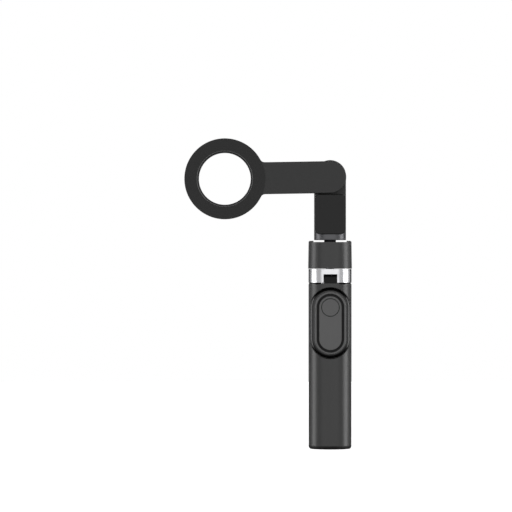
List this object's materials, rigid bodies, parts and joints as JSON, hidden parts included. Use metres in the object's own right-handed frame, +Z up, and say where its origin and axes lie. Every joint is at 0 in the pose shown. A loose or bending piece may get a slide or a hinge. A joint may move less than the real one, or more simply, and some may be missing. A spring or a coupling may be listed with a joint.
{
  "type": "phone gimbal with tripod handle",
  "caption": "Phone gimbal: a magnetic ring on a swinging arm, a turning motor housing, and a round telescopic handle that opens into a tripod, with a remote.",
  "frame": {"origin": "middle of the closed handle's foot, on the handle's axis", "axes": "+Z up the handle, -Y to the front where the phone and the remote face, arm along -X at rest"},
  "size_m": [0.1275, 0.0341, 0.2361],
  "materials": {
    "chrome": "polished",
    "handle_plastic": "satin",
    "hub_plastic": "moulded",
    "foot_rubber": "matte",
    "steel": "turned",
    "tube_aluminium": "drawn",
    "nylon": "natural",
    "remote_plastic": "satin",
    "cell_steel": "stamped",
    "board": "solder mask",
    "battery_wrap": "film",
    "button_plastic": "satin",
    "housing_metal": "glossy dark plating",
    "motor_aluminium": "turned",
    "magnet_nickel": "nickel",
    "arm_plastic": "satin",
    "cover_plastic": "satin",
    "pad_silicone": "soft touch"
  },
  "bodies": {
    "hub": {"chrome_ring": "chrome", "hub_core": "hub_plastic", "hinge_pins": "steel", "outer_tube": "tube_aluminium", "outer_mouth_bush": "nylon"},
    "leg_front": {"front_leg": "handle_plastic", "front_foot": "foot_rubber"},
    "leg_left": {"left_leg": "handle_plastic", "left_foot": "foot_rubber"},
    "leg_right": {"right_leg": "handle_plastic", "right_foot": "foot_rubber"},
    "remote": {"remote_case": "remote_plastic", "remote_face": "remote_plastic", "dome_switch": "cell_steel", "remote_board": "board", "coin_cell": "cell_steel"},
    "shutter": {"shutter_button": "remote_plastic"},
    "pole_second": {"second_tube": "tube_aluminium", "second_slide_bush": "nylon", "second_mouth_bush": "nylon"},
    "pole_third": {"third_tube": "tube_aluminium", "third_slide_bush": "nylon", "third_mouth_bush": "nylon"},
    "head": {"top_tube": "tube_aluminium", "top_slide_bush": "nylon", "collar_shell": "handle_plastic", "collar_floor": "hub_plastic", "collar_screws": "steel", "battery": "battery_wrap", "control_board": "board", "usb_port": "steel", "power_switch": "board", "neck_shaft": "steel", "pan_stator": "steel"},
    "power": {"power_button": "button_plastic"},
    "upright": {"motor_housing": "housing_metal", "lower_bearing": "steel", "upper_bearing": "steel", "pan_magnets": "magnet_nickel", "motor_cap": "motor_aluminium", "upright_shell": "arm_plastic", "front_cover": "cover_plastic", "rear_cap": "arm_plastic"},
    "arm": {"arm_frame": "arm_plastic", "arm_back_cover": "arm_plastic", "arm_screws": "steel", "ring_pad": "pad_silicone", "magnet_segments": "magnet_nickel", "shunt_ring": "steel", "pivot_bolt": "steel", "friction_washers": "nylon", "spring_washers": "steel", "pivot_nut": "steel"}
  },
  "joints": [
    {"name": "front_leg_fold", "type": "hinge", "parent": "hub", "child": "leg_front", "pos_m": [0, -0.0129, 0.13], "axis": [-1, 0, 0], "range_deg": [0, 62]},
    {"name": "left_leg_fold", "type": "hinge", "parent": "hub", "child": "leg_left", "pos_m": [-0.01117, 0.00645, 0.13], "axis": [0.5, 0.866, 0], "range_deg": [0, 62]},
    {"name": "right_leg_fold", "type": "hinge", "parent": "hub", "child": "leg_right", "pos_m": [0.01117, 0.00645, 0.13], "axis": [0.5, -0.866, 0], "range_deg": [0, 62]},
    {"name": "remote_release", "type": "slide", "parent": "leg_front", "child": "remote", "axis": [0, -1, 0], "range_m": [0, 0.015]},
    {"name": "shutter_press", "type": "slide", "parent": "remote", "child": "shutter", "axis": [0, 1, 0], "range_m": [0, 0.0005], "stiffness_N_per_m": 1500, "springref_m": -0.0003},
    {"name": "second_tube_slide", "type": "slide", "parent": "hub", "child": "pole_second", "axis": [0, 0, 1], "range_m": [0, 0.09]},
    {"name": "third_tube_slide", "type": "slide", "parent": "pole_second", "child": "pole_third", "axis": [0, 0, 1], "range_m": [0, 0.09]},
    {"name": "head_slide", "type": "slide", "parent": "pole_third", "child": "head", "axis": [0, 0, 1], "range_m": [0, 0.09]},
    {"name": "power_press", "type": "slide", "parent": "head", "child": "power", "axis": [0, -1, 0], "range_m": [0, 0.0005], "stiffness_N_per_m": 1500, "springref_m": -0.0003},
    {"name": "pan_turn", "type": "hinge", "parent": "head", "child": "upright", "pos_m": [0, 0, 0.1689], "axis": [0, 0, 1], "range_deg": [-160, 160]},
    {"name": "arm_turn", "type": "hinge", "parent": "upright", "child": "arm", "pos_m": [0, -0.005, 0.2067], "axis": [0, 1, 0], "range_deg": [0, 180]}
  ]
}
